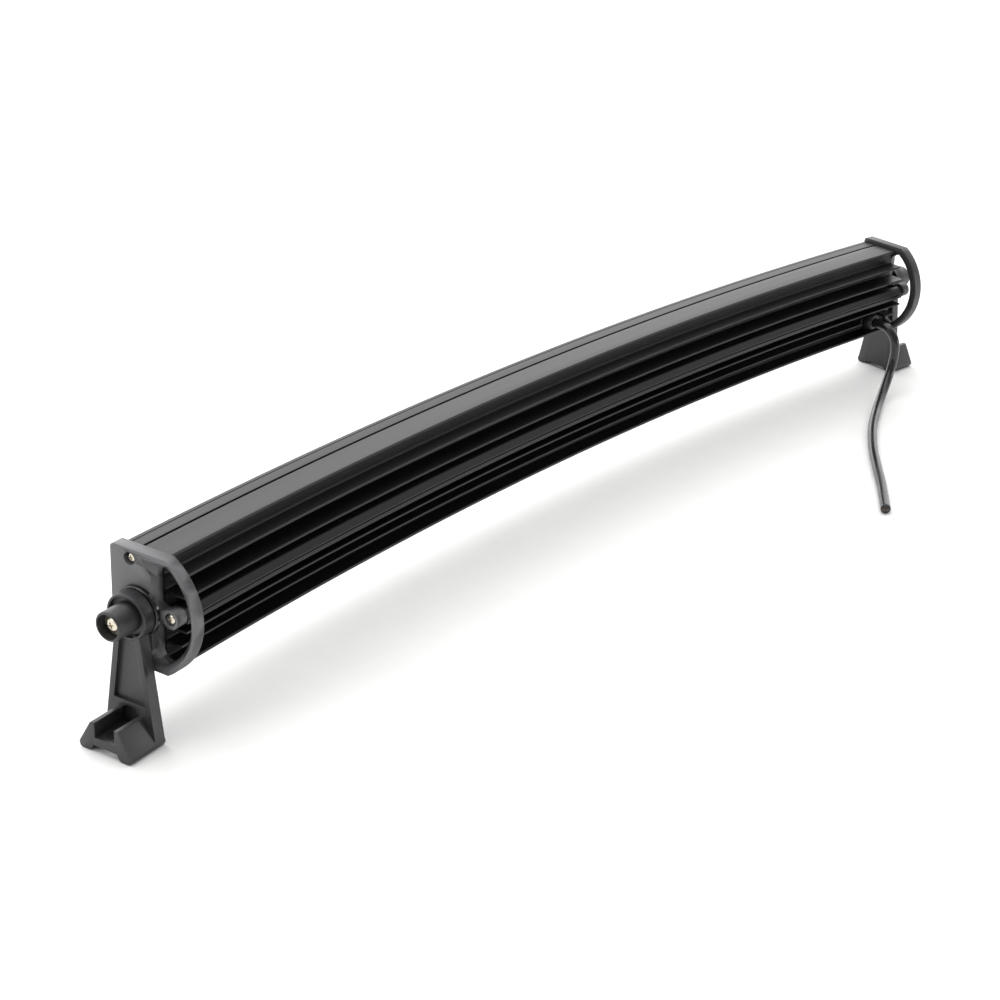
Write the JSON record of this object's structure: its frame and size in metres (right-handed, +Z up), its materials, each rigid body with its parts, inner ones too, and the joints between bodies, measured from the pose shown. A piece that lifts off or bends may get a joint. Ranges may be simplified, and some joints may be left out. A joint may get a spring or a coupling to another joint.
{
  "type": "curved led light bar",
  "caption": "Curved double-row LED light bar: finned black aluminium housing with open-backed end caps, clear lens, swivel mounting brackets at the ends and a rear supply cable.",
  "frame": {"origin": "on the ground under the middle of the lamp and its brackets, the free cable left out", "axes": "+X along the bar to its right-hand end seen from the lit side, -Y the way the lamp shines, +Z up"},
  "size_m": [0.9952, 0.2324, 0.128],
  "materials": {
    "black_anodised": "satin black anodised extrusion",
    "black_casting": "black powder-coated die casting, fine texture",
    "clear_polycarbonate": "clear, glossy",
    "black_rubber": "matt black silicone",
    "led_board": "white solder mask on metal-core board",
    "bright_reflector": "vacuum-metallised, bright",
    "gloss_nylon": "glossy black moulded",
    "black_nylon": "satin black moulded",
    "bright_steel": "bright stainless",
    "cable_jacket": "smooth semi-gloss black jacket"
  },
  "bodies": {
    "lamp": {"housing": "black_anodised", "lens": "clear_polycarbonate", "lens_seal_upper": "black_rubber", "lens_seal_lower": "black_rubber", "led_board_1": "led_board", "reflector_strip_1": "bright_reflector", "led_board_2": "led_board", "reflector_strip_2": "bright_reflector", "led_board_3": "led_board", "reflector_strip_3": "bright_reflector", "gland_body": "black_nylon", "gland_locknut": "black_nylon", "gland_nut": "black_nylon", "lead_tail": "cable_jacket", "cap_right": "black_casting", "cap_gasket_right": "black_rubber", "cap_screw_upper_right": "bright_steel", "cap_screw_lower_right": "bright_steel", "cap_screw_rear_right": "bright_steel", "pivot_spacer_right": "gloss_nylon", "pivot_washer_right": "bright_steel", "pivot_bolt_right": "bright_steel", "cap_left": "black_casting", "cap_gasket_left": "black_rubber", "cap_screw_upper_left": "bright_steel", "cap_screw_lower_left": "bright_steel", "cap_screw_rear_left": "bright_steel", "pivot_spacer_left": "gloss_nylon", "pivot_washer_left": "bright_steel", "pivot_bolt_left": "bright_steel", "cable": "cable_jacket"},
    "bracket_right": {"bracket_right": "black_casting"},
    "bracket_left": {"bracket_left": "black_casting"}
  },
  "joints": [
    {"name": "bracket_right_pivot", "type": "hinge", "parent": "lamp", "child": "bracket_right", "pos_m": [0.46794, 0.00403, 0.088], "axis": [0.9925, 0.1219, 0], "continuous": true},
    {"name": "bracket_left_pivot", "type": "hinge", "parent": "lamp", "child": "bracket_left", "pos_m": [-0.46794, 0.00403, 0.088], "axis": [0.9925, -0.1219, 0], "continuous": true}
  ]
}
